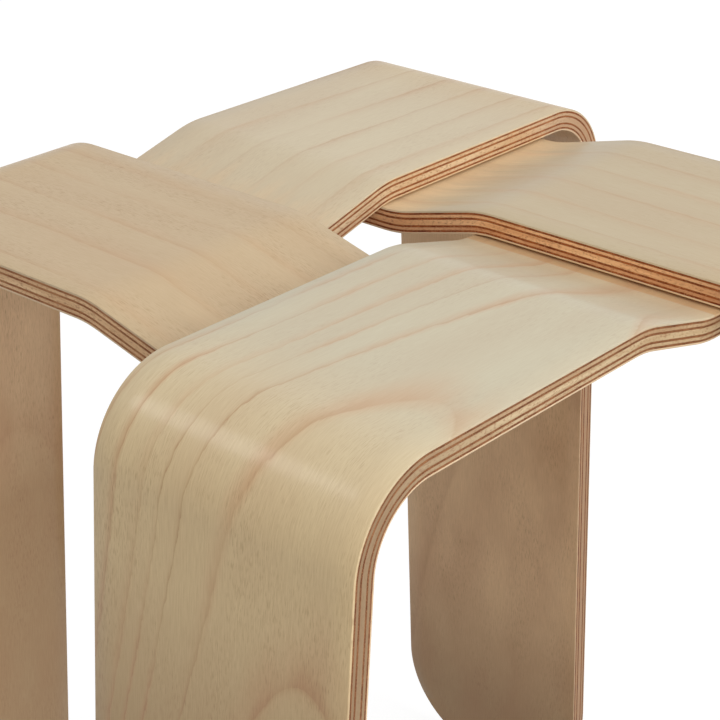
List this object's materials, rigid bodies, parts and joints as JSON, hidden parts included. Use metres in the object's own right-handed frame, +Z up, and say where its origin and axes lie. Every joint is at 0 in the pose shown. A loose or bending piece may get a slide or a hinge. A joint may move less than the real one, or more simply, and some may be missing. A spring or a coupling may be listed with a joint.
{
  "type": "stacking stool",
  "caption": "Square stacking stool of bent plywood strips interlocked like a pinwheel round a small square opening, each strip a leg, a bend, a flat seat and a tab under the next seat.",
  "frame": {"origin": "on the floor, at the upright axis through the middle of the square opening", "axes": "+Z up; one leg on each of -X, -Y, +X and +Y; -Y is taken as the front, though all four sides are alike"},
  "size_m": [0.4472, 0.4472, 0.45],
  "materials": {
    "face_veneer": "pale beech face veneer under a satin clear lacquer",
    "long_veneer": "beech veneer, grain along the strip, lacquered at the edge",
    "cross_veneer": "beech crossband with dark end grain, lacquered at the edge",
    "glue": "set wood glue, dark amber, hidden in the lap"
  },
  "bodies": {
    "root": {"left_face_top": "face_veneer", "left_crossband_1": "cross_veneer", "left_long_ply_1": "long_veneer", "left_crossband_2": "cross_veneer", "left_core_ply": "long_veneer", "left_crossband_3": "cross_veneer", "left_long_ply_2": "long_veneer", "left_crossband_4": "cross_veneer", "left_face_under": "face_veneer", "left_lap_glue": "glue", "front_face_top": "face_veneer", "front_crossband_1": "cross_veneer", "front_long_ply_1": "long_veneer", "front_crossband_2": "cross_veneer", "front_core_ply": "long_veneer", "front_crossband_3": "cross_veneer", "front_long_ply_2": "long_veneer", "front_crossband_4": "cross_veneer", "front_face_under": "face_veneer", "front_lap_glue": "glue", "right_face_top": "face_veneer", "right_crossband_1": "cross_veneer", "right_long_ply_1": "long_veneer", "right_crossband_2": "cross_veneer", "right_core_ply": "long_veneer", "right_crossband_3": "cross_veneer", "right_long_ply_2": "long_veneer", "right_crossband_4": "cross_veneer", "right_face_under": "face_veneer", "right_lap_glue": "glue", "back_face_top": "face_veneer", "back_crossband_1": "cross_veneer", "back_long_ply_1": "long_veneer", "back_crossband_2": "cross_veneer", "back_core_ply": "long_veneer", "back_crossband_3": "cross_veneer", "back_long_ply_2": "long_veneer", "back_crossband_4": "cross_veneer", "back_face_under": "face_veneer", "back_lap_glue": "glue"}
  },
  "joints": []
}
